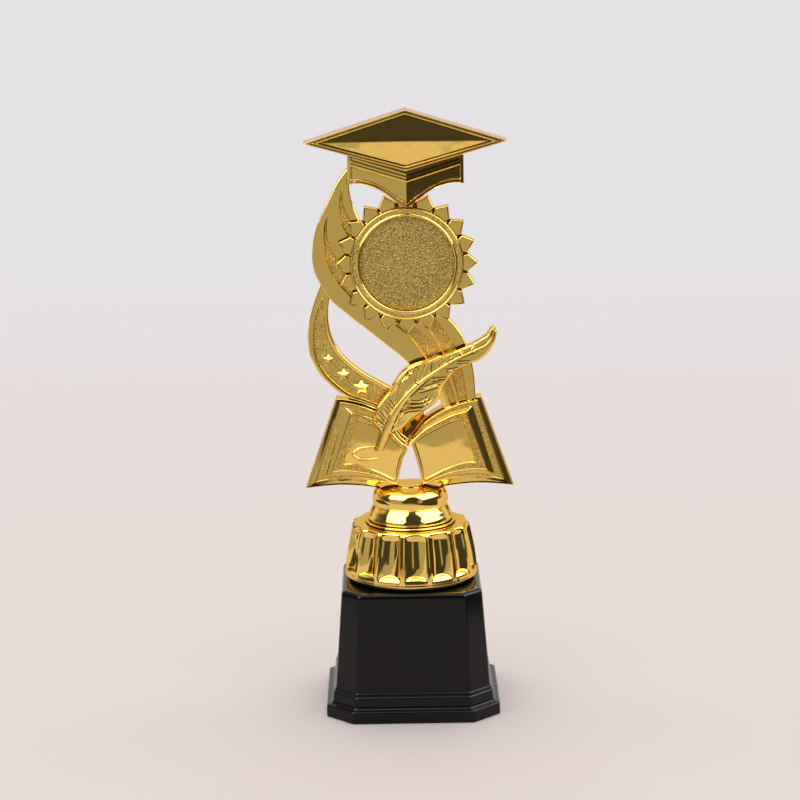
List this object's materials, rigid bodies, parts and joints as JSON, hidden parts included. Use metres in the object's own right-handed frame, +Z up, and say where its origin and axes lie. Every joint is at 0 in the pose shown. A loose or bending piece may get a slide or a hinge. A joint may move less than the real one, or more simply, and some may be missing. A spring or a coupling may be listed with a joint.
{
  "type": "column trophy",
  "caption": "Plated relief trophy: mortarboard, sunburst medallion, flowing ribbons, quill and open book on a fluted riser and a chamfered gloss black pedestal.",
  "frame": {"origin": "middle of the pedestal's underside, where it stands", "axes": "+Z up the trophy, the relief faces -Y, +X to the viewer's right"},
  "size_m": [0.0892, 0.074, 0.256],
  "materials": {
    "gold_mirror": "vacuum-plated mirror gold on moulded plastic",
    "gold_grained": "plated gold over a fine moulded grain, satin",
    "gloss_black": "glossy moulded black",
    "matte_black": "fine matt moulded black",
    "zinc_steel": "zinc-plated fixing",
    "plaster": "cast plaster ballast"
  },
  "bodies": {
    "root": {"base_shell": "gloss_black", "bottom_cover": "matte_black", "ballast_block": "plaster", "tie_bolt": "zinc_steel", "tie_washer": "zinc_steel", "foot_nut": "zinc_steel", "fluted_dome": "gold_mirror", "neck_collar": "gold_mirror", "book_cover": "gold_mirror", "left_pages": "gold_mirror", "right_pages": "gold_mirror", "quill_pen": "gold_mirror", "star_ribbon": "gold_mirror", "swirl_ribbon": "gold_mirror", "sun_rosette": "gold_mirror", "medallion_disc": "gold_grained", "cap_crown": "gold_mirror", "cap_board": "gold_mirror"}
  },
  "joints": []
}
